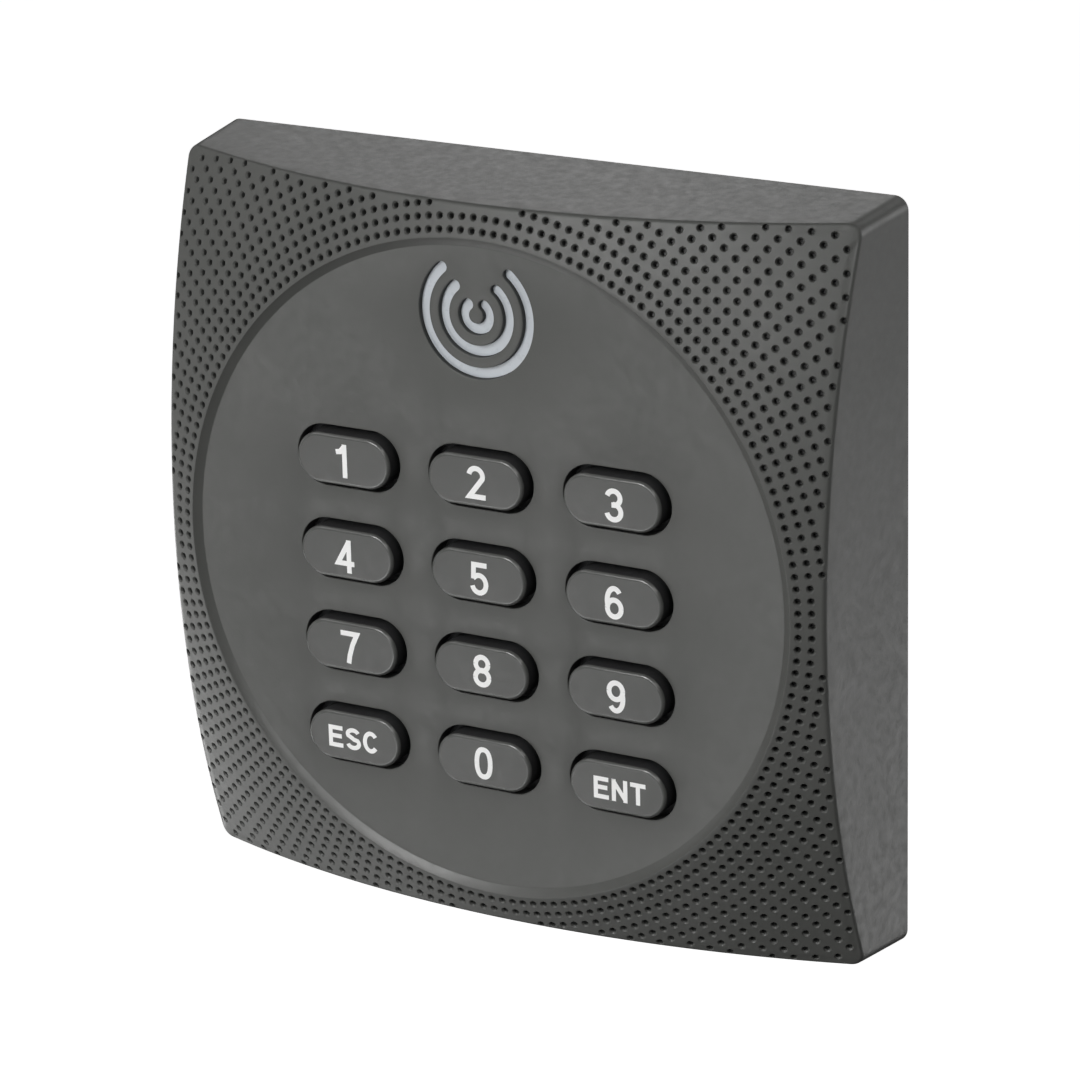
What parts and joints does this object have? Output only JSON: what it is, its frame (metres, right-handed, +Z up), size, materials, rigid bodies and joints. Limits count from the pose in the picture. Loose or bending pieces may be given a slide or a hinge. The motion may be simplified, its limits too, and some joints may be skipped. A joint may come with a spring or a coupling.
{
  "type": "rfid card reader",
  "caption": "Square wall-mounted access reader with a domed dimpled front, a sunken round disc, pill-shaped keys and a curved-arc card mark.",
  "frame": {"origin": "centre of the reader's back, on the wall plane, midway between the wall box screws", "axes": "+X right seen from the front, +Y into the wall (the front faces -Y), +Z up"},
  "size_m": [0.086, 0.0193, 0.086],
  "materials": {
    "housing_plastic": "fine spark-eroded texture, satin",
    "key_plastic": "satin, printed legends",
    "light_window": "milky light guide",
    "mat_rubber": "matte silicone",
    "carbon_rubber": "matte carbon",
    "board_green": "solder mask",
    "gold_plate": "gold plated",
    "led_lens": "clear lens",
    "copper_wire": "enamelled copper",
    "chip_black": "moulded epoxy",
    "bright_can": "drawn can",
    "ceramic_tan": "fired",
    "buzzer_black": "moulded",
    "socket_white": "moulded nylon",
    "screw_steel": "zinc plated",
    "seal_rubber": "matte",
    "cover_plastic": "moulded, satin",
    "label_film": "blank film",
    "bracket_steel": "galvanised sheet"
  },
  "bodies": {
    "reader": {"front_housing": "housing_plastic", "light_guide": "light_window", "keypad_mat": "mat_rubber", "main_board": "board_green", "contact_pads": "gold_plate", "status_leds": "led_lens", "antenna_coil": "copper_wire", "reader_chip": "chip_black", "control_chip": "chip_black", "voltage_regulator": "chip_black", "crystal": "bright_can", "chip_resistors": "chip_black", "chip_capacitors": "ceramic_tan", "electrolytic_caps": "bright_can", "surge_diodes": "chip_black", "buzzer": "buzzer_black", "wire_socket": "socket_white", "socket_pins": "gold_plate", "board_screws": "screw_steel", "rear_gasket": "seal_rubber", "rear_cover": "cover_plastic", "cable_grommet": "seal_rubber", "cover_screws": "screw_steel", "rating_label": "label_film", "wall_bracket": "bracket_steel", "locking_screw": "screw_steel"},
    "button_1": {"key_1": "key_plastic", "pill_1": "carbon_rubber"},
    "button_2": {"key_2": "key_plastic", "pill_2": "carbon_rubber"},
    "button_3": {"key_3": "key_plastic", "pill_3": "carbon_rubber"},
    "button_4": {"key_4": "key_plastic", "pill_4": "carbon_rubber"},
    "button_5": {"key_5": "key_plastic", "pill_5": "carbon_rubber"},
    "button_6": {"key_6": "key_plastic", "pill_6": "carbon_rubber"},
    "button_7": {"key_7": "key_plastic", "pill_7": "carbon_rubber"},
    "button_8": {"key_8": "key_plastic", "pill_8": "carbon_rubber"},
    "button_9": {"key_9": "key_plastic", "pill_9": "carbon_rubber"},
    "button_esc": {"key_esc": "key_plastic", "pill_esc": "carbon_rubber"},
    "button_0": {"key_0": "key_plastic", "pill_0": "carbon_rubber"},
    "button_ent": {"key_ent": "key_plastic", "pill_ent": "carbon_rubber"}
  },
  "joints": [
    {"name": "press_1", "type": "slide", "parent": "reader", "child": "button_1", "axis": [0, 1, 0], "range_m": [0, 0.0008], "stiffness_N_per_m": 1500, "deforming": ["keypad_mat"]},
    {"name": "press_2", "type": "slide", "parent": "reader", "child": "button_2", "axis": [0, 1, 0], "range_m": [0, 0.0008], "stiffness_N_per_m": 1500, "deforming": ["keypad_mat"]},
    {"name": "press_3", "type": "slide", "parent": "reader", "child": "button_3", "axis": [0, 1, 0], "range_m": [0, 0.0008], "stiffness_N_per_m": 1500, "deforming": ["keypad_mat"]},
    {"name": "press_4", "type": "slide", "parent": "reader", "child": "button_4", "axis": [0, 1, 0], "range_m": [0, 0.0008], "stiffness_N_per_m": 1500, "deforming": ["keypad_mat"]},
    {"name": "press_5", "type": "slide", "parent": "reader", "child": "button_5", "axis": [0, 1, 0], "range_m": [0, 0.0008], "stiffness_N_per_m": 1500, "deforming": ["keypad_mat"]},
    {"name": "press_6", "type": "slide", "parent": "reader", "child": "button_6", "axis": [0, 1, 0], "range_m": [0, 0.0008], "stiffness_N_per_m": 1500, "deforming": ["keypad_mat"]},
    {"name": "press_7", "type": "slide", "parent": "reader", "child": "button_7", "axis": [0, 1, 0], "range_m": [0, 0.0008], "stiffness_N_per_m": 1500, "deforming": ["keypad_mat"]},
    {"name": "press_8", "type": "slide", "parent": "reader", "child": "button_8", "axis": [0, 1, 0], "range_m": [0, 0.0008], "stiffness_N_per_m": 1500, "deforming": ["keypad_mat"]},
    {"name": "press_9", "type": "slide", "parent": "reader", "child": "button_9", "axis": [0, 1, 0], "range_m": [0, 0.0008], "stiffness_N_per_m": 1500, "deforming": ["keypad_mat"]},
    {"name": "press_esc", "type": "slide", "parent": "reader", "child": "button_esc", "axis": [0, 1, 0], "range_m": [0, 0.0008], "stiffness_N_per_m": 1500, "deforming": ["keypad_mat"]},
    {"name": "press_0", "type": "slide", "parent": "reader", "child": "button_0", "axis": [0, 1, 0], "range_m": [0, 0.0008], "stiffness_N_per_m": 1500, "deforming": ["keypad_mat"]},
    {"name": "press_ent", "type": "slide", "parent": "reader", "child": "button_ent", "axis": [0, 1, 0], "range_m": [0, 0.0008], "stiffness_N_per_m": 1500, "deforming": ["keypad_mat"]}
  ]
}
